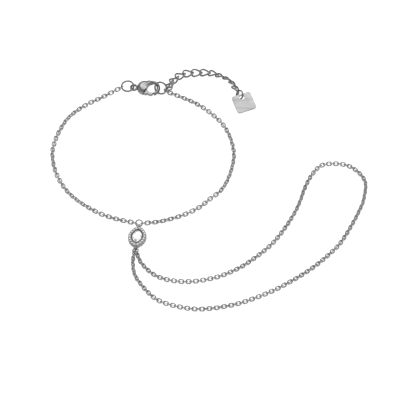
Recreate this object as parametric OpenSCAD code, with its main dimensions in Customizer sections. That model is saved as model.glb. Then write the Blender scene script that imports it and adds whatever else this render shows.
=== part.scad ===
// Hand chain bracelet. A wrist chain closes with a lobster clasp and has an extender with a
// square tag. A pendant with a pointed oval stone hangs from it and carries a finger loop.
// It lies flat on a surface. Millimetres, +Z up, origin on the surface under the middle.

/* [Wrist chain] */
// Wire of a wrist chain link
wrist_wire_d = 0.3; // [0.26:0.02:0.32]
// Length of a wrist chain link's hole
wrist_hole_l = 1.27; // [1.2:0.01:1.36]
// Width of a wrist chain link's hole
wrist_hole_w = 0.8; // [0.7:0.02:0.9]

/* [Finger chain] */
// Width of the finger chain
finger_chain_w = 1.2; // [1:0.1:1.4]

/* [Jump rings] */
// Outer diameter of the two jump rings at the clasp
jump_ring_d = 4.1; // [3.9:0.1:4.4]
// Wire of the two jump rings at the clasp
jump_wire_d = 0.44; // [0.36:0.02:0.46]
// Outer diameter of the ring between the pendant and the wrist chain
pendant_ring_d = 2.2; // [2.1:0.05:2.4]
// Outer diameter of the ring between the pendant and the finger chain
finger_ring_d = 1.8; // [1.7:0.05:2]
// Wire of the two rings at the pendant
small_wire_d = 0.28; // [0.22:0.02:0.3]
// Outer diameter of the tag's ring
tag_ring_d = 3.1; // [3:0.05:3.2]
// Wire of the tag's ring
tag_wire_d = 0.4; // [0.34:0.02:0.44]

/* [Clasp] */
// Thickness of the clasp's body
clasp_t = 2.3; // [2:0.1:2.6]
// Radius of the clasp's rounded body
clasp_body_r = 2.25; // [2.15:0.05:2.35]
// Radius of the hook's bend, at the middle of its bar
hook_r = 2; // [1.95:0.01:2.04]
// Diameter of the hook's bar
hook_bar_d = 1; // [0.96:0.04:1.12]
// Hole of the clasp's eye
eye_hole_d = 1.16; // [1.1:0.02:1.3]
// Bar of the clasp's eye
eye_bar_d = 0.6; // [0.5:0.05:0.65]
// Thickness of the lever
lever_t = 0.84; // [0.7:0.02:0.9]
// Depth of the lever's arm
lever_arm_w = 0.74; // [0.6:0.02:0.8]
// Diameter of the lever's pin
pin_d = 0.6; // [0.5:0.05:0.66]
// Radius of the lever's thumb nub
nub_r = 0.42; // [0.36:0.02:0.5]

/* [Extender] */
// Length of an extender link
curb_l = 3.7; // [3.6:0.05:3.8]
// Width of an extender link
curb_w = 2.95; // [2.8:0.05:3.1]
// Wire of an extender link
curb_wire_d = 0.42; // [0.34:0.01:0.44]

/* [Tag] */
// Side of the square tag
tag_side = 6; // [5.6:0.1:6.4]
// Thickness of the tag
tag_t = 0.5; // [0.4:0.05:0.6]
// Corner radius of the tag
tag_corner_r = 0.8; // [0.4:0.1:1.2]
// Hole of the tag
tag_hole_d = 1.6; // [1.55:0.05:1.8]

/* [Pendant] */
// Width of the halo
halo_w = 5.2; // [5:0.1:5.6]
// Length of the halo
halo_l = 7.2; // [7:0.1:7.5]
// Width of the halo's band
halo_band = 0.9; // [0.84:0.02:1]
// Height of the halo
halo_h = 1.2; // [1.1:0.05:1.4]
// Diameter of a halo stone
halo_stone_d = 0.7; // [0.6:0.02:0.72]
// Height of the large stone's crown
crown_h = 0.5; // [0.4:0.05:0.7]
// Bar width of the bail
bail_w = 0.9; // [0.7:0.1:1]

/* [Hidden] */

// Clearance between two links, and between a link and a ring
link_gap = 0.11;
// Clearance between the lever and the clasp's body
lever_gap = 0.1;
// Radial clearance of the pin in the lever
pin_gap = 0.05;
// Clearance of a stone in its seat
stone_gap = 0.04;

// Routes of the chains on the surface, between the rings that they end on
left_route = [[-26.5, -12.5], [-31, -10.5], [-36, -7], [-40, -3], [-42.5, 1], [-44.5, 6],
              [-45.5, 12], [-45, 17], [-43.5, 22], [-41, 27], [-36.5, 31.5], [-32, 34.5]];
right_route = [[-13, -13.5], [-7.5, -11.5], [-2.5, -8.5], [1, -5], [4, -2], [6, 2],
               [7.5, 7.5], [8, 12.5], [7, 18.5], [5, 23.5], [2.5, 27], [-1.5, 31], [-6, 34]];
finger_route = [[-20.9, -25.6], [-21, -29], [-20, -34], [-16, -40], [-12, -43], [-5, -45],
                [1, -45], [8, -43.5], [13, -41.5], [18, -39], [22, -36.5], [27.5, -32.5],
                [32, -28.5], [37, -23], [39.5, -19], [42, -14], [44, -9.5], [45.5, -5],
                [46, 2], [41.5, 7.5], [34.5, 8], [31, 4.5], [28.5, -1], [27, -6], [25, -11],
                [21.5, -17.5], [18, -22.5], [13, -27.5], [8.5, -31], [2.5, -34],
                [-4.5, -35.5], [-10.5, -35], [-15, -33], [-18.5, -29], [-19.5, -25.6]];
extender_route = [[-11, 40.1], [-9.9, 41.6], [-8.5, 43.2], [-6.2, 44.5], [-3.1, 44.9],
                  [-0.2, 44.8], [2.1, 44.2], [4.2, 43], [6.2, 41.6], [7.8, 39.8]];

// Places and turns of the rigid pieces as they lie. A turn is a tilt, a lean and a heading.
clasp_place = [-17.5, 37.9];
clasp_turn = [16, 0, -3];
left_ring_turn = [76, 0, 4];
right_ring_turn = [62, 0, -20];
pendant_place = [-19.85, -19.65];
pendant_turn = [0, -6, -5];
pendant_ring_turn = [25, 0, -5];
finger_ring_turn = [12, 0, -5];
tag_hole_place = [10.6, 34];
tag_heading = 20;
tag_tilt = 12;
tag_ring_turn = [56, 0, -60];

// Roll of a wrist chain link, which alternates, and the slow sway of the chain
link_roll = 45;
link_sway = 25;
link_sway_waves = 3;
// Roll of each extender link about the chain, from the clasp to the tag
curb_rolls = [-35, -30, -22, -12, -4, 0, -8, -22, -38, -50, -54, -48];
// Rise of an extender link's wire, which lets flat links interlock
curb_rise = 0.45;

// Where rings and links meet: angles on the rings, and headings of the end links
extender_on_ring = 1;
extender_heading = 50;
right_chain_on_ring = -20;
right_chain_heading = -24;
left_chain_on_ring = 190;
left_chain_heading = 205;
left_start_heading = 175;
right_start_heading = 5;
tag_chain_heading = 113;

// Sizes of the bends that follow from the sizes above
wrist_bend_r = (wrist_hole_w + wrist_wire_d) / 2;
wrist_straight = wrist_hole_l - wrist_hole_w;
wrist_reach = (wrist_hole_l + wrist_wire_d) / 2;
wrist_pitch = wrist_hole_l - link_gap;
jump_ring_r = (jump_ring_d - jump_wire_d) / 2;
pendant_ring_r = (pendant_ring_d - small_wire_d) / 2;
finger_ring_r = (finger_ring_d - small_wire_d) / 2;
tag_ring_r = (tag_ring_d - tag_wire_d) / 2;
curb_a = (curb_l - curb_wire_d) / 2;
curb_b = (curb_w - curb_wire_d) / 2;
eye_r = (eye_hole_d + eye_bar_d) / 2;

// Vector v turned by a tilt about X, a lean about Y and a heading about Z
function tilted(v, a) = [v.x, v.y * cos(a) - v.z * sin(a), v.y * sin(a) + v.z * cos(a)];
function leaned(v, a) = [v.x * cos(a) + v.z * sin(a), v.y, v.z * cos(a) - v.x * sin(a)];
function headed(v, a) = [v.x * cos(a) - v.y * sin(a), v.x * sin(a) + v.y * cos(a), v.z];
function turned(v, turn) = headed(leaned(tilted(v, turn[0]), turn[1]), turn[2]);
// Point on a ring's wire, from the ring's centre
function ring_arm(turn, r, angle) = turned([r * cos(angle), r * sin(angle), 0], turn);
// Height of a tilted ring's centre when it rests on the surface
function ring_rest(turn, r, wire_d) = r * sin(turn[0]) + wire_d / 2;
// Angle on a resting ring where its wire has the height z, on its right half
function angle_at(turn, r, wire_d, z) = asin((z - ring_rest(turn, r, wire_d)) / r / sin(turn[0]));
// Level direction of a heading
function level(heading) = [cos(heading), sin(heading), 0];

// Smooth curve through points, with steps to each span
function curve_point(a, b, c, d, t) =
    (2 * b + (c - a) * t + (2 * a - 5 * b + 4 * c - d) * t * t
    + (3 * b - a - 3 * c + d) * t * t * t) / 2;
function smooth(p, steps) = let (last = len(p) - 1) concat(
    [for (i = [0 : last - 1]) for (k = [0 : steps - 1])
        curve_point(p[max(i - 1, 0)], p[i], p[i + 1], p[min(i + 2, last)], k / steps)],
    [p[last]]);
// Length along a line up to each of its points
function lengths(p) = [for (i = 0, s = 0; i < len(p);
    s = s + (i + 1 < len(p) ? norm(p[i + 1] - p[i]) : 0), i = i + 1) s];
function by_length(p, s, axis) = [for (i = [0 : len(p) - 1]) [s[i], p[i][axis]]];
// Points at equal steps along the smooth curve through a route
function stepped(route, spans) =
    let (p = smooth(route, 12), s = lengths(p), total = s[len(s) - 1],
         x = by_length(p, s, 0), y = by_length(p, s, 1), z = by_length(p, s, 2))
    [for (i = [0 : spans]) [lookup(total * i / spans, x), lookup(total * i / spans, y),
                            max(0, lookup(total * i / spans, z))]];
function route_length(route) = let (s = lengths(smooth(route, 12))) s[len(s) - 1];
// Direction of a line of points at point i
function direction(p, i) = p[min(i + 1, len(p) - 1)] - p[max(i - 1, 0)];
function heading_of(v) = atan2(v.y, v.x);
function climb_of(v) = atan2(v.z, norm([v.x, v.y]));

// Clasp: points of its own frame, whose X runs from the eye to the hook and Y to the spine
hook_center = [1, -0.05];
hook_from = -72;
hook_to = 150;
body_center = [-1.25, 0];
spine_center = [0.05, 1.05];
spine_r = 1.4;
spine_step = 0.1;
spine_t = clasp_t - 2 * spine_step;
pin_center = [-1.15, -0.45];
nub_center = [-0.82, -1.88];
eye_center = [-4.45, 0];
lever_reach = 3;
knuckle_r = 0.62;
cheek_cut = [[-1.55, -3], [-1.3, -1.3], [0.62, 0.55], [4, 0.55], [4, -3]];
cheek_rim_r = clasp_t / 2;
clasp_z = (clasp_body_r - cheek_rim_r) * sin(clasp_turn[0]) + cheek_rim_r;
clasp_at = [clasp_place.x, clasp_place.y, clasp_z];
function in_clasp(p) = clasp_at + turned([p.x, p.y, 0], clasp_turn);

// Left ring: its wire passes the eye, a little off the middle
ring_in_eye = [-0.13, 0];
left_ring_in_eye = in_clasp(eye_center + ring_in_eye);
left_ring_angle = angle_at(left_ring_turn, jump_ring_r, jump_wire_d, left_ring_in_eye.z);
left_ring_at = left_ring_in_eye - ring_arm(left_ring_turn, jump_ring_r, left_ring_angle);

// Right ring: its wire passes inside the hook's bend
ring_in_hook_angle = 15;
ring_in_hook_r = hook_r - (hook_bar_d + jump_wire_d) / 2 - 3 * link_gap;
right_ring_in_hook = in_clasp(hook_center
    + ring_in_hook_r * [cos(ring_in_hook_angle), sin(ring_in_hook_angle)]);
right_ring_angle = 180 - angle_at(right_ring_turn, jump_ring_r, jump_wire_d, right_ring_in_hook.z);
right_ring_at = right_ring_in_hook - ring_arm(right_ring_turn, jump_ring_r, right_ring_angle);

// Pendant: its own frame has Y towards the wrist chain. Both loops stand across that line.
loop_wall = 0.24;
loop_room = 0.26;
bail_hole_r = small_wire_d / 2 + loop_room;
loop_r = bail_hole_r + loop_wall;
loop_sink = 0.2;
loop_y = halo_l / 2 + loop_r - loop_sink;
finger_loop_w = 0.6;
scallop_bulge = 0.06;
pendant_edge = halo_w / 2 + scallop_bulge;
pendant_at = [pendant_place.x, pendant_place.y, pendant_edge * sin(abs(pendant_turn[1]))];
function in_pendant(p) = pendant_at + turned(p, pendant_turn);
pendant_ring_at = in_pendant([0, loop_y, loop_r])
    + ring_arm(pendant_ring_turn, pendant_ring_r, 90);
finger_ring_at = in_pendant([0, -loop_y, loop_r])
    + ring_arm(finger_ring_turn, finger_ring_r, -90);

// Tag: its own frame has the origin in the hole and Y towards the near edge
tag_hole_rim = 0.4;
tag_hole_edge = tag_hole_d / 2 + tag_hole_rim;
tag_ring_at = [tag_hole_place.x, tag_hole_place.y,
               ring_rest(tag_ring_turn, tag_ring_r, tag_wire_d)]
    - ring_arm(tag_ring_turn, tag_ring_r, 0);
tag_low_x = tag_side / 2 - tag_corner_r;
tag_low_y = tag_side - tag_hole_edge - tag_corner_r;
tag_drop = tag_low_x * sin(tag_heading) + tag_low_y * cos(tag_heading) + tag_corner_r;
tag_z = tag_drop * sin(tag_tilt) + tag_t / 2 * cos(tag_tilt);

// End links of the wrist chain and the extender, hooked round their rings
function hooked(ring_at, turn, ring_r, angle, heading, reach) =
    ring_at + ring_arm(turn, ring_r, angle) + reach * level(heading);
wrist_on_jump = wrist_reach - (wrist_wire_d + jump_wire_d) / 2 - link_gap;
wrist_on_small = wrist_reach - (wrist_wire_d + small_wire_d) / 2 - link_gap;
curb_on_jump = curb_a - (curb_wire_d + jump_wire_d) / 2 - 2 * link_gap;
curb_on_tag = curb_a - (curb_wire_d + tag_wire_d) / 2 - 2 * link_gap;
left_start = hooked(pendant_ring_at, pendant_ring_turn, pendant_ring_r, 180,
                    left_start_heading, wrist_on_small);
left_end = hooked(left_ring_at, left_ring_turn, jump_ring_r, left_chain_on_ring,
                  left_chain_heading, wrist_on_jump);
right_start = hooked(pendant_ring_at, pendant_ring_turn, pendant_ring_r, 0,
                     right_start_heading, wrist_on_small);
right_end = hooked(right_ring_at, right_ring_turn, jump_ring_r, right_chain_on_ring,
                   right_chain_heading, wrist_on_jump);
extender_start = hooked(right_ring_at, right_ring_turn, jump_ring_r, extender_on_ring,
                        extender_heading, curb_on_jump);
extender_end = hooked(tag_ring_at, tag_ring_turn, tag_ring_r, 180,
                      tag_chain_heading, curb_on_tag);

// Route with heights: its ends are at their own height, and the rest lies on the surface
function on_surface(p) = [for (q = p) [q.x, q.y, 0]];
function raised(p, rest) = [p.x, p.y, max(0, p.z - rest)];
function between(a, route, b, rest) =
    concat([raised(a, rest)], on_surface(route), [raised(b, rest)]);

module wire_ring(r, wire_d) {
    rotate_extrude($fn = 48)
        translate([r, 0])
            circle(d = wire_d, $fn = 24);
}

module placed_ring(at, turn, r, wire_d) {
    translate(at)
        rotate(turn)
            wire_ring(r, wire_d);
}

// Oval link: two half bends joined by two straight wires
module oval_link() {
    for (side = [0, 180])
        rotate([0, 0, side]) {
            translate([wrist_straight / 2, 0])
                rotate([0, 0, -90])
                    rotate_extrude(angle = 180, $fn = 48)
                        translate([wrist_bend_r, 0])
                            circle(d = wrist_wire_d, $fn = 24);
            translate([-wrist_straight / 2, wrist_bend_r])
                rotate([0, 90, 0])
                    cylinder(d = wrist_wire_d, h = wrist_straight, $fn = 24);
        }
}

// Oval links at equal steps of at most the pitch, an even number of them
module wrist_links(from, route, to, first_roll) {
    rest = wrist_bend_r * sin(link_roll + link_sway) + wrist_wire_d / 2;
    way = between(from, route, to, rest);
    spans = 2 * ceil((route_length(way) / wrist_pitch + 1) / 2) - 1;
    points = stepped(way, spans);
    for (i = [0 : spans]) {
        ahead = direction(points, i);
        sway = link_sway * sin(360 * link_sway_waves * i / spans);
        roll = (i % 2 == 0 ? first_roll : 180 - first_roll) + sway;
        translate(points[i] + [0, 0, rest])
            rotate([roll, -climb_of(ahead), heading_of(ahead)])
                oval_link();
    }
}

module wrist_chain_left() {
    color("silver")
        wrist_links(left_start, left_route, left_end, link_roll);
}

module wrist_chain_right() {
    color("silver")
        wrist_links(right_start, right_route, right_end, 180 - link_roll);
}

// Tube along points, with its ends closed
function tube_ring(p, ahead, r, sides) = [for (k = [0 : sides - 1])
    let (side = headed([0, 1, 0], heading_of(ahead)), a = 360 * (k + 0.5) / sides)
    p + r * cos(a) * side + [0, 0, r * sin(a)]];
module tube(points, r, sides) {
    last = len(points) - 1;
    polyhedron(
        points = [for (i = [0 : last]) each tube_ring(points[i], direction(points, i), r, sides)],
        faces = concat(
            [for (i = [0 : last - 1]) for (k = [0 : sides - 1])
                [i * sides + k, (i + 1) * sides + k,
                 (i + 1) * sides + (k + 1) % sides, i * sides + (k + 1) % sides]],
            [[for (k = [0 : sides - 1]) k]],
            [[for (k = [sides - 1 : -1 : 0]) last * sides + k]]));
}

// The finger chain's fine links keep within this tube
module finger_chain() {
    tube_spans = 79;
    tube_sides = 8;
    r = finger_chain_w / 2;
    color("silver")
        tube([for (p = stepped(on_surface(finger_route), tube_spans)) p + [0, 0, r]], r, tube_sides);
}

module jump_ring_left() {
    color("silver")
        placed_ring(left_ring_at, left_ring_turn, jump_ring_r, jump_wire_d);
}

module jump_ring_right() {
    color("silver")
        placed_ring(right_ring_at, right_ring_turn, jump_ring_r, jump_wire_d);
}

module pendant_ring() {
    color("silver")
        placed_ring(pendant_ring_at, pendant_ring_turn, pendant_ring_r, small_wire_d);
}

module finger_ring() {
    color("silver")
        placed_ring(finger_ring_at, finger_ring_turn, finger_ring_r, small_wire_d);
}

module tag_ring() {
    color("silver")
        placed_ring(tag_ring_at, tag_ring_turn, tag_ring_r, tag_wire_d);
}

// Clasp body: eye, rounded cheeks with a slot, and the hook
module rounded_disc(r, thickness) {
    rim = thickness / 2;
    rotate_extrude($fn = 64) {
        translate([r - rim, 0])
            intersection() {
                circle(r = rim, $fn = 48);
                translate([0, -rim])
                    square([rim, thickness]);
            }
        translate([0, -rim])
            square([r - rim, thickness]);
    }
}

module pie(r, from, to) {
    polygon([[0, 0], for (k = [0 : 4]) let (a = from + (to - from) * k / 4) [r * cos(a), r * sin(a)]]);
}

module lever_slot() {
    slot_from = -106;
    slot_to = 26;
    knuckle_room = knuckle_r + lever_gap;
    linear_extrude(lever_t + 2 * lever_gap, center = true)
        translate(pin_center) {
            pie(2 * lever_reach, slot_from, slot_to);
            circle(r = knuckle_room, $fn = 48);
        }
}

module clasp_body() {
    hook_hole_r = hook_r - hook_bar_d / 2;
    lever_cut_from = hook_from - 20;
    lever_cut_to = -30;
    color("silver")
        translate(clasp_at)
            rotate(clasp_turn) {
                translate(eye_center)
                    wire_ring(eye_r, eye_bar_d);
                difference() {
                    union() {
                        translate(body_center)
                            rounded_disc(clasp_body_r, clasp_t);
                        translate(spine_center)
                            rounded_disc(spine_r, spine_t);
                    }
                    linear_extrude(2 * clasp_t, center = true)
                        polygon(cheek_cut);
                    translate(hook_center)
                        cylinder(r = hook_hole_r, h = 2 * clasp_t, center = true, $fn = 64);
                    lever_slot();
                }
                translate(pin_center)
                    cylinder(d = pin_d, h = clasp_t - 2 * lever_gap, center = true, $fn = 32);
                difference() {
                    translate(hook_center)
                        rotate([0, 0, hook_from])
                            rotate_extrude(angle = hook_to - hook_from, $fn = 64)
                                translate([hook_r, 0])
                                    circle(d = hook_bar_d, $fn = 32);
                    linear_extrude(2 * clasp_t, center = true)
                        intersection() {
                            translate(pin_center)
                                circle(r = lever_reach + lever_gap, $fn = 96);
                            translate(hook_center)
                                pie(2 * lever_reach, lever_cut_from, lever_cut_to);
                        }
                    linear_extrude(lever_t + 2 * lever_gap, center = true)
                        translate(pin_center)
                            circle(r = knuckle_r + lever_gap, $fn = 48);
                }
            }
}

module clasp_lever() {
    arm_from = -168;
    arm_to = -40;
    arm_out = 0.04;
    color("silver")
        translate(clasp_at)
            rotate(clasp_turn)
                linear_extrude(lever_t, center = true)
                    difference() {
                        union() {
                            translate(pin_center)
                                circle(r = knuckle_r, $fn = 48);
                            translate(nub_center)
                                circle(r = nub_r, $fn = 32);
                            intersection() {
                                translate(hook_center)
                                    difference() {
                                        circle(r = hook_r + arm_out + lever_arm_w / 2, $fn = 96);
                                        circle(r = hook_r + arm_out - lever_arm_w / 2, $fn = 96);
                                    }
                                translate(hook_center)
                                    pie(2 * lever_reach, arm_from, arm_to);
                                translate(pin_center)
                                    circle(r = lever_reach, $fn = 96);
                            }
                        }
                        translate(pin_center)
                            circle(r = pin_d / 2 + pin_gap, $fn = 32);
                    }
}

// Twisted oval link, swept round its wire
function curb_point(t) = [curb_a * cos(t), curb_b * sin(t), -curb_rise * sin(2 * t)];
function curb_ahead(t) = [-curb_a * sin(t), curb_b * cos(t), -2 * curb_rise * cos(2 * t)];
function curb_side(t) = let (v = cross(curb_ahead(t), [0, 0, 1])) v / norm(v);
function curb_up(t) = let (v = cross(curb_side(t), curb_ahead(t))) v / norm(v);
// Height at which a rolled and climbing link rests on the surface
function curb_rest(roll, climb) = curb_wire_d / 2 - min([for (t = [0 : 5 : 355])
    let (p = curb_point(t)) p.x * sin(climb) + tilted(p, roll).z * cos(climb)]);
module curb_link() {
    steps = 24;
    sides = 6;
    polyhedron(
        points = [for (i = [0 : steps - 1]) for (k = [0 : sides - 1])
            let (t = 360 * i / steps, a = 360 * k / sides)
            curb_point(t) + curb_wire_d / 2 * (cos(a) * curb_side(t) + sin(a) * curb_up(t))],
        faces = [for (i = [0 : steps - 1]) for (k = [0 : sides - 1])
            let (next = (k + 1) % sides, here = i * sides, there = ((i + 1) % steps) * sides)
            each [[here + k, here + next, there + next], [here + k, there + next, there + k]]]);
}

module extender_chain() {
    spans = len(curb_rolls) - 1;
    way = concat([extender_start], on_surface(extender_route), [extender_end]);
    flat = stepped(way, spans);
    high = [for (i = [0 : spans]) [flat[i].x, flat[i].y, max(flat[i].z, curb_rest(curb_rolls[i], 0))]];
    color("silver")
        for (i = [0 : spans]) {
            ahead = direction(high, i);
            rest = curb_rest(curb_rolls[i], climb_of(ahead));
            translate([high[i].x, high[i].y, max(high[i].z, rest)])
                rotate([curb_rolls[i], -climb_of(ahead), heading_of(ahead)])
                    curb_link();
        }
}

module rounded_square(side, r) {
    inner = side - 2 * r;
    square([side, inner], center = true);
    square([inner, side], center = true);
    for (x = [-inner / 2, inner / 2])
        for (y = [-inner / 2, inner / 2])
            translate([x, y])
                circle(r = r, $fn = 48);
}

module tag() {
    color("lightgray")
        translate([tag_hole_place.x, tag_hole_place.y, tag_z])
            rotate([tag_tilt, 0, 0])
                rotate([0, 0, tag_heading])
                    linear_extrude(tag_t, center = true)
                        difference() {
                            translate([0, tag_hole_edge - tag_side / 2])
                                rounded_square(tag_side, tag_corner_r);
                            circle(d = tag_hole_d, $fn = 48);
                        }
}

// Pointed oval: two equal arcs, whose radius and offset follow from its width and length
function oval_offset(w, l) = (l * l / w - w) / 4;
function oval_radius(w, l) = oval_offset(w, l) + w / 2;
halo_offset = oval_offset(halo_w, halo_l);
halo_r = oval_radius(halo_w, halo_l);
module pointed_oval(inset) {
    intersection_for(x = [-halo_offset, halo_offset])
        translate([x, 0])
            circle(r = halo_r - inset, $fn = 128);
}

// Halo stones: equal steps along the middle of the band, clear of the two points
halo_mid_r = halo_r - halo_band / 2;
halo_per_side = 9;
halo_clear = 9;
halo_step = 2 * (acos(halo_offset / halo_mid_r) - halo_clear) / (halo_per_side - 1);
halo_seat_d = halo_stone_d + 2 * stone_gap;
halo_seat_depth = 0.4;
bead_r = 0.11;
module round_halo(from, to, out) {
    for (side = [0, 180])
        for (k = [from : to])
            rotate([0, 0, side])
                translate([-halo_offset, 0, 0])
                    rotate([0, 0, k * halo_step])
                        translate([halo_mid_r + out, 0, 0])
                            children();
}

ledge_h = 0.5;
ledge_w = 0.3;
module pendant_setting() {
    last = (halo_per_side - 1) / 2;
    scallop_wall = 0.08;
    scallop_groove = 0.08;
    scallop_d = halo_seat_d + 2 * scallop_wall;
    scallop_out = halo_band / 2 + scallop_bulge - scallop_d / 2;
    inner_bead = 0.08 - halo_band / 2;
    outer_bead = halo_band / 2 - 0.12;
    bead_sink = 0.02;
    color("silver")
        translate(pendant_at)
            rotate(pendant_turn) {
                difference() {
                    union() {
                        linear_extrude(halo_h)
                            pointed_oval(scallop_groove);
                        round_halo(-last, last, scallop_out)
                            cylinder(d = scallop_d, h = halo_h, $fn = 32);
                    }
                    translate([0, 0, -1])
                        linear_extrude(halo_h + 2)
                            pointed_oval(halo_band + ledge_w);
                    translate([0, 0, ledge_h])
                        linear_extrude(halo_h)
                            pointed_oval(halo_band);
                    translate([0, 0, halo_h - halo_seat_depth])
                        round_halo(-last, last, 0)
                            cylinder(d = halo_seat_d, h = halo_h, $fn = 32);
                }
                for (out = [inner_bead, outer_bead])
                    translate([0, 0, halo_h - bead_sink])
                        round_halo(0.5 - last, last - 0.5, out)
                            sphere(r = bead_r, $fn = 24);
                translate([0, loop_y, loop_r])
                    standing_loop(bail_w);
                translate([0, -loop_y, loop_r])
                    standing_loop(finger_loop_w);
            }
}

module standing_loop(w) {
    rotate([0, 90, 0])
        difference() {
            cylinder(r = loop_r, h = w, center = true, $fn = 48);
            cylinder(r = bail_hole_r, h = 2 * w, center = true, $fn = 48);
        }
}

// Cut stone: an outline with a table above its girdle and a keel below
module center_stone() {
    girdle_over_ledge = 0.36;
    girdle_z = ledge_h + girdle_over_ledge;
    crown_bulge = 0.06;
    girdle_h = 0.1;
    table_share = 0.55;
    keel_share = 0.2;
    keel_z = 0.12;
    around = 16;
    w = halo_w - 2 * halo_band - 2 * stone_gap;
    inner_r = halo_r - halo_band - stone_gap;
    l = 2 * sqrt(inner_r * inner_r - halo_offset * halo_offset);
    outline = [for (k = [0 : around - 1]) stone_rim(w, l, 360 * k / around)];
    rows = [[keel_z, keel_share], [girdle_z, 1], [girdle_z + girdle_h, 1],
            [girdle_z + girdle_h + crown_h / 2, (1 + table_share) / 2 + crown_bulge],
            [girdle_z + girdle_h + crown_h, table_share]];
    color("aliceblue")
        translate(pendant_at)
            rotate(pendant_turn)
                stacked(outline, rows);
}

// Point of a pointed oval's rim, towards an angle of its long axis
function stone_rim(w, l, a) =
    let (o = oval_offset(w, l), r = oval_radius(w, l), top = acos(o / r),
         half = a < 180 ? 1 : -1, b = 2 * top * (a % 180) / 180 - top)
    [half * (r * cos(b) - o), half * r * sin(b)];

// Solid between shares of one outline at the heights of its rows
module stacked(outline, rows) {
    n = len(outline);
    last = len(rows) - 1;
    polyhedron(
        points = [for (row = rows) for (p = outline) [p.x * row[1], p.y * row[1], row[0]]],
        faces = concat(
            [for (i = [0 : last - 1]) for (k = [0 : n - 1]) each
                [[i * n + (k + 1) % n, i * n + k, (i + 1) * n + k],
                 [i * n + (k + 1) % n, (i + 1) * n + k, (i + 1) * n + (k + 1) % n]]],
            [[for (k = [0 : n - 1]) k]],
            [[for (k = [n - 1 : -1 : 0]) last * n + k]]));
}

module halo_stones() {
    last = (halo_per_side - 1) / 2;
    sides = 8;
    octagon = [for (k = [0 : sides - 1]) halo_stone_d / 2 * [cos(45 * k), sin(45 * k)]];
    girdle_sink = 0.06;
    rows = [[-0.3, 0.12], [0, 1], [0.05, 1], [0.18, 0.6]];
    color("aliceblue")
        translate(pendant_at)
            rotate(pendant_turn)
                translate([0, 0, halo_h - girdle_sink])
                    round_halo(-last, last, 0)
                        stacked(octagon, rows);
}

wrist_chain_left();
wrist_chain_right();
pendant_ring();
pendant_setting();
center_stone();
halo_stones();
finger_ring();
finger_chain();
jump_ring_left();
clasp_body();
clasp_lever();
jump_ring_right();
extender_chain();
tag_ring();
tag();
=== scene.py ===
"""Hand chain bracelet: fine chains, a stone-set pendant, a clasp, an extender and its bare tag."""

import math

import bmesh
import bpy
import numpy as np
from mathutils import Matrix, Vector


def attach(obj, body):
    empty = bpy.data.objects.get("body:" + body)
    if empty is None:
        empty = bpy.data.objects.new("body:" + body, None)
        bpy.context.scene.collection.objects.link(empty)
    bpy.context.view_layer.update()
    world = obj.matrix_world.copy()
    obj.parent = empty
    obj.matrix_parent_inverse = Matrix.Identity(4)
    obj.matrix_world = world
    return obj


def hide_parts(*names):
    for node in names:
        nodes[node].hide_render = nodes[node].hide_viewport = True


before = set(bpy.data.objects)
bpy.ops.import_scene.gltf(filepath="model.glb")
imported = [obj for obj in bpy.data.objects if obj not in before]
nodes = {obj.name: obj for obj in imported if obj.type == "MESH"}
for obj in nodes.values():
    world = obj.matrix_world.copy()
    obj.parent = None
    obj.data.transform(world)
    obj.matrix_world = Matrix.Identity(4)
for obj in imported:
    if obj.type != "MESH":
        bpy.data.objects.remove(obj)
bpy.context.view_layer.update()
MM = 0.001
JOIN_WITHIN = 0.0005 * MM  # points of a CAD node this near are one point

# ---------------------------------------------------------------- view and studio

VIEW_ANGLE = 50  # degrees above the table
VIEW_DISTANCE = 650 * MM
VIEW_CENTER = Vector((-2, -5, 0)) * MM
PICTURE_SIDE = 400  # pixels
PIXEL_AT_CENTER = 0.29 * MM
SENSOR = 36
TABLE_REACH = 6  # metres from the middle


def set_camera():
    """Looks down on the table from the photograph's angle."""
    data = bpy.data.cameras.new("camera")
    data.sensor_width = SENSOR
    data.lens = SENSOR * VIEW_DISTANCE / (PICTURE_SIDE * PIXEL_AT_CENTER)
    data.clip_start = 10 * MM
    data.clip_end = 20
    camera = bpy.data.objects.new("camera", data)
    bpy.context.scene.collection.objects.link(camera)
    slope = math.radians(VIEW_ANGLE)
    back = Vector((0, -math.cos(slope), math.sin(slope)))
    camera.location = VIEW_CENTER + back * VIEW_DISTANCE
    camera.rotation_euler = (-back).to_track_quat("-Z", "Y").to_euler()
    bpy.context.scene.camera = camera


def set_table():
    """A plain white table top, wide enough for any view."""
    bm = bmesh.new()
    bmesh.ops.create_grid(bm, x_segments=1, y_segments=1, size=TABLE_REACH)
    table = finished("table", bm, [white_card()])


ROOM_GREY = 0.39
TABLE_GLOW = 0.8
TABLE_GLOW_IN_METAL = 0.24
# Where each soft box hangs, how far it reaches round that and how wide its soft edge is, both in
# degrees, and its brightness. The second is a dark screen behind the camera.
SOFT_BOXES = [
    ((0, 0.4, 0.917), 16, 12, 1.3),
    ((0, -0.64, 0.77), 12, 8, -0.3),
    ((-0.9, 0, 0.45), 12, 8, 0.4),
    ((0.9, 0, 0.45), 12, 8, 0.4),
]


def soft_box(tree, place, facing, reach, edge, strength):
    """Brightness of one soft box in the studio, by direction."""
    near = tree.nodes.new("ShaderNodeVectorMath")
    near.operation = "DOT_PRODUCT"
    near.inputs[1].default_value = Vector(facing).normalized()
    tree.links.new(place, near.inputs[0])
    fade = tree.nodes.new("ShaderNodeMapRange")
    fade.interpolation_type = "SMOOTHSTEP"
    fade.inputs["From Min"].default_value = math.cos(math.radians(reach + edge))
    fade.inputs["From Max"].default_value = math.cos(math.radians(reach - edge))
    fade.inputs["To Min"].default_value = 0
    fade.inputs["To Max"].default_value = strength
    tree.links.new(near.outputs["Value"], fade.inputs["Value"])
    return fade.outputs["Result"]


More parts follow.
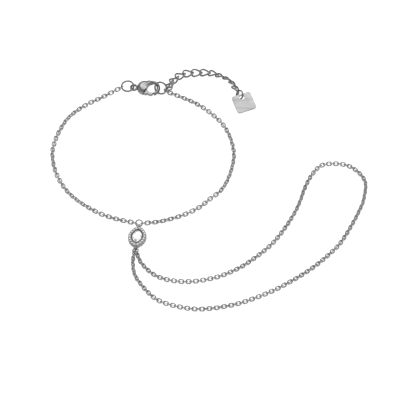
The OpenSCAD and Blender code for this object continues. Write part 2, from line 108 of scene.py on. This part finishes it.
def set_studio():
    """A grey room with soft boxes, so that polished metal shows light and dark."""
    world = bpy.data.worlds.new("studio")
    world.use_nodes = True
    tree = world.node_tree
    room = tree.nodes["Background"]
    place = tree.nodes.new("ShaderNodeTexCoord").outputs["Generated"]
    total = None
    for box in SOFT_BOXES:
        light = soft_box(tree, place, *box)
        sum_up = tree.nodes.new("ShaderNodeMath")
        sum_up.inputs[1].default_value = ROOM_GREY
        tree.links.new(light, sum_up.inputs[0])
        if total:
            tree.links.new(total, sum_up.inputs[1])
        total = sum_up.outputs[0]
    tree.links.new(total, room.inputs["Color"])
    bpy.context.scene.world = world
    bpy.context.scene.view_settings.view_transform = "Standard"


# ---------------------------------------------------------------- making pieces


def finished(name, bm, materials, smooth=True):
    """The piece from its bmesh, at the origin, with its finishes."""
    mesh = bpy.data.meshes.new(name)
    for face in bm.faces:
        face.smooth = smooth
    bm.to_mesh(mesh)
    bm.free()
    for material in materials:
        mesh.materials.append(material)
    piece = bpy.data.objects.new(name, mesh)
    bpy.context.scene.collection.objects.link(piece)
    return piece


def wire_ring(bm, radius, wire, steps, sides):
    """One round of wire in the plane of X and Y, its centre at the origin."""
    made = bmesh.ops.create_circle(bm, segments=sides, radius=wire / 2)
    stand = Matrix.Translation((radius, 0, 0)) @ Matrix.Rotation(math.pi / 2, 4, "X")
    bmesh.ops.transform(bm, matrix=stand, verts=made["verts"])
    edges = list({edge for vert in made["verts"] for edge in vert.link_edges})
    bmesh.ops.spin(
        bm, geom=edges, cent=(0, 0, 0), axis=(0, 0, 1), angle=math.tau, steps=steps, use_merge=True
    )
    bmesh.ops.recalc_face_normals(bm, faces=bm.faces)


def oval_link(hole_length, hole_width, wire, flatness, steps, sides):
    """One link: a round of wire pulled out to an oval, the wire a little flat."""
    bm = bmesh.new()
    wire_ring(bm, (hole_width + wire) / 2, wire, steps, sides)
    half_step = Matrix.Rotation(math.pi / steps, 4, "Z")
    bmesh.ops.transform(bm, matrix=half_step, verts=bm.verts)
    for side in (-1, 1):
        half = [vert for vert in bm.verts if vert.co.x * side > 0]
        pull = Vector((side * (hole_length - hole_width) / 2, 0, 0))
        bmesh.ops.translate(bm, vec=pull, verts=half)
    bmesh.ops.scale(bm, vec=(1, 1, flatness), verts=bm.verts)
    return bm


def laid_links(bm, link, poses):
    """A copy of the link at each pose."""
    pattern = bpy.data.meshes.new("link")
    link.to_mesh(pattern)
    link.free()
    count = len(pattern.vertices)
    for pose in poses:
        bm.from_mesh(pattern)
        bm.verts.ensure_lookup_table()
        bmesh.ops.transform(bm, matrix=pose, verts=bm.verts[-count:])
    bpy.data.meshes.remove(pattern)


def separate_solids(node):
    """The points of each loose solid of a CAD node, in metres."""
    bm = bmesh.new()
    bm.from_mesh(nodes[node].data)
    bmesh.ops.remove_doubles(bm, verts=bm.verts, dist=JOIN_WITHIN)
    seen, solids = set(), []
    for first in bm.verts:
        if first in seen:
            continue
        seen.add(first)
        reached, waiting = [], [first]
        while waiting:
            vert = waiting.pop()
            reached.append(vert.co.copy())
            for edge in vert.link_edges:
                other = edge.other_vert(vert)
                if other not in seen:
                    seen.add(other)
                    waiting.append(other)
        solids.append(np.array(reached))
    bm.free()
    return solids


# ---------------------------------------------------------------- wrist chains

WRIST_HOLE = (1.21 * MM, 0.7 * MM)
WRIST_WIRE = 0.41 * MM
WRIST_FLATNESS = 0.76


def wrist_chain(side):
    """Oval links where the CAD chain has them, their wire fuller and a little flat."""
    node = "wrist_chain_" + side
    poses = []
    for points in separate_solids(node):
        center = points.mean(axis=0)
        across = np.linalg.eigh((points - center).T @ (points - center))[1]
        along, up = Vector(across[:, 2]), Vector(across[:, 0])
        turn = Matrix((along, up.cross(along), up)).transposed().to_4x4()
        poses.append(Matrix.Translation(center) @ turn)
    bm = bmesh.new()
    laid_links(bm, oval_link(*WRIST_HOLE, WRIST_WIRE, WRIST_FLATNESS, steps=18, sides=8), poses)
    piece = finished("wrist_links_" + side, bm, [chain_silver])
    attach(piece, "bracelet")
    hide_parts(node)


# ---------------------------------------------------------------- finger chain

# Middle of the chain, seen from above, with its height and pitch below, all in mm
FINGER_ROUTE = [
    (-20.74, -25.3), (-21, -29), (-20, -34), (-16, -40), (-12, -43), (-5, -45), (1, -45),
    (8, -43.5), (13, -41.5), (18, -39), (22, -36.5), (27.5, -32.5), (32, -28.5), (37, -23),
    (39.5, -19), (42, -14), (44, -9.5), (45.5, -5), (46, 2), (41.5, 7.5), (34.5, 8),
    (31, 4.5), (28.5, -1), (27, -6), (25, -11), (21.5, -17.5), (18, -22.5), (13, -27.5),
    (8.5, -31), (2.5, -34), (-4.5, -35.5), (-10.5, -35), (-15, -33), (-18.5, -29),
    (-19.94, -25.3),
]
ROUTE_STEPS = 12
FINGER_HEIGHT = 0.73
FINGER_PITCH = 1.035
FINGER_HOLE = (1.08 * MM, 0.7 * MM)
FINGER_WIRE = 0.41 * MM
FINGER_FLATNESS = 0.76
LINK_ROLL = 45  # degrees
LINK_SWAY = 8  # degrees
SWAY_WAVES = 7


def smooth_route(points, steps):
    """A smooth line through the points, as the CAD's tube has it."""
    ends = [2 * points[0] - points[1], *points, 2 * points[-1] - points[-2]]
    line = []
    for a, b, c, d in zip(ends, ends[1:], ends[2:], ends[3:]):
        for step in range(steps):
            t = step / steps
            line.append(
                (2 * b + (c - a) * t + (2 * a - 5 * b + 4 * c - d) * t**2
                 + (3 * b - a - 3 * c + d) * t**3) / 2
            )
    return [*line, points[-1]]


def evenly(line, pitch):
    """Points and directions along the line, an even number of them, about the pitch apart."""
    reach = [0.0]
    for a, b in zip(line, line[1:]):
        reach.append(reach[-1] + (b - a).length)
    spans = 2 * round(reach[-1] / pitch / 2) + 1
    stops, at = [], 0
    for k in range(spans + 1):
        want = reach[-1] * k / spans
        while at < len(line) - 2 and reach[at + 1] < want:
            at += 1
        t = (want - reach[at]) / (reach[at + 1] - reach[at])
        stops.append((line[at].lerp(line[at + 1], t), (line[at + 1] - line[at]).normalized()))
    return stops


def finger_chain():
    """Very fine links, each a quarter turn from the next, all the way round the loop."""
    points = [Vector((x, y, FINGER_HEIGHT)) for x, y in FINGER_ROUTE]
    poses = []
    stops = evenly(smooth_route(points, ROUTE_STEPS), FINGER_PITCH)
    for k, (place, ahead) in enumerate(stops):
        sway = LINK_SWAY * math.sin(math.tau * SWAY_WAVES * k / (len(stops) - 1))
        roll = math.radians(sway + (LINK_ROLL if k % 2 else -LINK_ROLL))
        turn = ahead.to_track_quat("X", "Z").to_matrix().to_4x4()
        poses.append(Matrix.Translation(place * MM) @ turn @ Matrix.Rotation(roll, 4, "X"))
    bm = bmesh.new()
    laid_links(bm, oval_link(*FINGER_HOLE, FINGER_WIRE, FINGER_FLATNESS, steps=14, sides=6), poses)
    piece = finished("finger_links", bm, [fine_silver])
    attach(piece, "bracelet")
    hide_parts("finger_chain")


# ---------------------------------------------------------------- clasp, rings, tag and stone

CAST_GRID = 0.05 * MM
CAST_SMOOTHING = 6
CAST_SKIN = 0.03 * MM
EXTENDER_SWELL = 0.092 * MM
RING_SWELL = 0.04 * MM
TAG_EDGE = 0.18 * MM
TAG_CORNER = 40  # degrees between two faces, above which their edge is eased
RIM_FACET = 0.85  # cosine to the stone's table, below which a facet belongs to the rim and gets painted shade


def merged_copy(node):
    """The CAD node's faces with their shared points joined."""
    bm = bmesh.new()
    bm.from_mesh(nodes[node].data)
    bmesh.ops.remove_doubles(bm, verts=bm.verts, dist=JOIN_WITHIN)
    bmesh.ops.recalc_face_normals(bm, faces=bm.faces)
    return bm


def cast_piece(name, node, body):
    """A clasp piece with its edges softened, as casting and tumbling leave them."""
    piece = finished(name, merged_copy(node), [clasp_silver])
    grid = piece.modifiers.new("skin", "REMESH")
    grid.mode = "VOXEL"
    grid.voxel_size = CAST_GRID
    grid.use_smooth_shade = True
    soften = piece.modifiers.new("soften", "SMOOTH")
    soften.factor = 0.5
    soften.iterations = CAST_SMOOTHING
    skin = piece.modifiers.new("full_skin", "DISPLACE")
    skin.strength = CAST_SKIN
    skin.mid_level = 0
    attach(piece, body)
    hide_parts(node)


def full_wire(name, node, swell, material, rounds=0):
    """Wire from the CAD node, as full as its polish and plating leave it."""
    bm = merged_copy(node)
    for vert in bm.verts:
        vert.co += vert.normal * swell
    piece = finished(name, bm, [material])
    if rounds:
        rounder = piece.modifiers.new("rounder", "SUBSURF")
        rounder.levels = rounder.render_levels = rounds
    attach(piece, "bracelet")
    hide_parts(node)


def tag_plate():
    """The bare tag, its edges eased."""
    piece = finished("tag_plate", merged_copy("tag"), [satin_tag], smooth=False)
    ease = piece.modifiers.new("eased_edges", "BEVEL")
    ease.width = TAG_EDGE
    ease.segments = 3
    ease.limit_method = "ANGLE"
    ease.angle_limit = math.radians(TAG_CORNER)
    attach(piece, "bracelet")
    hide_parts("tag")


def large_stone():
    """The large stone: bright with painted glow on its table, darker with painted shade on the
    steep facets at its rim.
    """
    bm = merged_copy("center_stone")
    table = max((face.normal for face in bm.faces), key=lambda facing: facing.z).copy()
    for face in bm.faces:
        if face.normal.dot(table) < RIM_FACET:
            face.material_index = 1
    piece = finished("large_stone", bm, [clear_stone, stone_rim], smooth=False)
    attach(piece, "bracelet")
    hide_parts("center_stone")


# ---------------------------------------------------------------- finishes


def new_finish(name):
    """A material with its shader and its wiring at hand."""
    material = bpy.data.materials.new(name)
    material.use_nodes = True
    tree = material.node_tree
    return material, tree, tree.nodes["Principled BSDF"]


def grain(tree, scale, stretch=(1, 1, 1), turn=0, detail=3):
    """Fine noise fixed to the piece, scale in marks a metre."""
    place = tree.nodes.new("ShaderNodeTexCoord")
    lay = tree.nodes.new("ShaderNodeMapping")
    lay.inputs["Rotation"].default_value = (0, 0, math.radians(turn))
    lay.inputs["Scale"].default_value = stretch
    noise = tree.nodes.new("ShaderNodeTexNoise")
    noise.inputs["Scale"].default_value = scale
    noise.inputs["Detail"].default_value = detail
    tree.links.new(place.outputs["Object"], lay.inputs["Vector"])
    tree.links.new(lay.outputs["Vector"], noise.inputs["Vector"])
    return noise.outputs["Fac"]


def shade_between(tree, mask, dark, light, low=0.35, high=0.65):
    """Colour from dark to light by the mask."""
    ramp = tree.nodes.new("ShaderNodeValToRGB")
    ramp.color_ramp.elements[0].position = low
    ramp.color_ramp.elements[0].color = (*dark, 1)
    ramp.color_ramp.elements[1].position = high
    ramp.color_ramp.elements[1].color = (*light, 1)
    tree.links.new(mask, ramp.inputs[0])
    return ramp.outputs[0]


def between(tree, mask, low, high):
    """A number from low to high by the mask."""
    spread = tree.nodes.new("ShaderNodeMapRange")
    spread.inputs["From Min"].default_value = 0.3
    spread.inputs["From Max"].default_value = 0.7
    spread.inputs["To Min"].default_value = low
    spread.inputs["To Max"].default_value = high
    tree.links.new(mask, spread.inputs["Value"])
    return spread.outputs["Result"]


def relief(tree, shader, mask, depth, strength):
    """Low relief under the gloss, depth in metres."""
    bump = tree.nodes.new("ShaderNodeBump")
    bump.inputs["Distance"].default_value = depth
    bump.inputs["Strength"].default_value = strength
    tree.links.new(mask, bump.inputs["Height"])
    tree.links.new(bump.outputs["Normal"], shader.inputs["Normal"])


def polished_silver(name, tones, rough, marks):
    """Polished metal: fine wipe marks in the gloss, a little tone from place to place."""
    material, tree, shader = new_finish(name)
    shader.inputs["Metallic"].default_value = 1
    tone = grain(tree, 900)
    wipes = grain(tree, marks, stretch=(1, 0.3, 1), turn=25, detail=5)
    dark, light = ((shade, shade, shade) for shade in tones)
    tree.links.new(shade_between(tree, tone, dark, light), shader.inputs["Base Color"])
    tree.links.new(between(tree, wipes, *rough), shader.inputs["Roughness"])
    relief(tree, shader, grain(tree, marks, detail=2), 0.004 * MM, 0.25)
    return material


def brushed_tag():
    """Satin metal, brushed along one side of the tag."""
    material, tree, shader = new_finish("satin_tag")
    shader.inputs["Metallic"].default_value = 1
    strokes = grain(tree, 1600, stretch=(0.06, 1.6, 1), turn=-20, detail=6)
    cloud = grain(tree, 500)
    tree.links.new(
        shade_between(tree, cloud, (0.46, 0.46, 0.46), (0.56, 0.56, 0.56)),
        shader.inputs["Base Color"],
    )
    tree.links.new(between(tree, strokes, 0.32, 0.48), shader.inputs["Roughness"])
    relief(tree, shader, strokes, 0.01 * MM, 0.35)
    return material


def cut_stone(name, glow, tone=1):
    """Clear cut stone with a painted glow: it glows in random patches, some more than others,
    standing in for the light its back facets would throw back.
    """
    material, tree, shader = new_finish(name)
    shader.inputs["IOR"].default_value = 1.9
    shader.inputs["Metallic"].default_value = 0.55
    haze = grain(tree, 2500)
    facets = tree.nodes.new("ShaderNodeTexVoronoi")
    facets.inputs["Scale"].default_value = 1500
    place = tree.nodes.new("ShaderNodeTexCoord")
    tree.links.new(place.outputs["Object"], facets.inputs["Vector"])
    # A tone below one darkens the whole stone colour, which paints shade on it.
    tree.links.new(
        shade_between(tree, haze, (0.93 * tone, 0.94 * tone, 0.96 * tone), (tone, tone, tone)),
        shader.inputs["Base Color"],
    )
    tree.links.new(between(tree, haze, 0.01, 0.05), shader.inputs["Roughness"])
    # The emission is painted sparkle: the stone glows by itself, though it is no lamp.
    shader.inputs["Emission Color"].default_value = (0.98, 0.99, 1, 1)
    painted_sparkle = between(tree, facets.outputs["Color"], *glow)
    tree.links.new(painted_sparkle, shader.inputs["Emission Strength"])
    return material


def white_card():
    """The table's plain white card."""
    material, tree, shader = new_finish("white_card")
    fibres = grain(tree, 60)
    tree.links.new(
        shade_between(tree, fibres, (0.88, 0.88, 0.88), (0.9, 0.9, 0.9)),
        shader.inputs["Base Color"],
    )
    shader.inputs["Roughness"].default_value = 0.9
    shader.inputs["Specular IOR Level"].default_value = 0.0
    shader.inputs["Emission Color"].default_value = (1, 1, 1, 1)
    path = tree.nodes.new("ShaderNodeLightPath")
    glow = tree.nodes.new("ShaderNodeMapRange")
    glow.inputs["To Min"].default_value = TABLE_GLOW_IN_METAL
    glow.inputs["To Max"].default_value = TABLE_GLOW
    tree.links.new(path.outputs["Is Camera Ray"], glow.inputs["Value"])
    tree.links.new(glow.outputs["Result"], shader.inputs["Emission Strength"])
    return material


def dress(node, material):
    """The CAD node keeps its shape and gets this finish."""
    mesh = nodes[node].data
    mesh.materials.clear()
    mesh.materials.append(material)


# One polished silver in five copies: the setting, rings, extender and clasp have a darker base
# colour than the chains, and that darker base is painted shade.
chain_silver = polished_silver("chain_silver", (0.48, 0.58), (0.10, 0.24), 5000)
fine_silver = polished_silver("fine_silver", (0.45, 0.60), (0.10, 0.24), 5000)
setting_silver = polished_silver("setting_silver", (0.34, 0.50), (0.10, 0.30), 6000)
ring_silver = polished_silver("ring_silver", (0.30, 0.44), (0.16, 0.30), 4000)
clasp_silver = polished_silver("clasp_silver", (0.28, 0.44), (0.06, 0.16), 3000)
satin_tag = brushed_tag()
# Painted glow: each stone's emission strength runs between the two numbers given.
clear_stone = cut_stone("clear_stone", (0.0, 0.6))
# Painted shade for the stone's rim: a darker stone colour and almost no glow.
stone_rim = cut_stone("stone_rim", (0.0, 0.03), tone=0.3)
small_stone = cut_stone("small_stone", (0.0, 0.2))

set_camera()
set_studio()
set_table()
wrist_chain("left")
wrist_chain("right")
finger_chain()
for ring in ["pendant_ring", "finger_ring", "jump_ring_left", "jump_ring_right", "tag_ring"]:
    full_wire(ring.replace("ring", "round"), ring, RING_SWELL, ring_silver)
dress("pendant_setting", setting_silver)
full_wire("extender_links", "extender_chain", EXTENDER_SWELL, ring_silver, rounds=1)
cast_piece("cast_body", "clasp_body", "bracelet")
cast_piece("cast_lever", "clasp_lever", "clasp_lever")
tag_plate()
large_stone()
dress("halo_stones", small_stone)
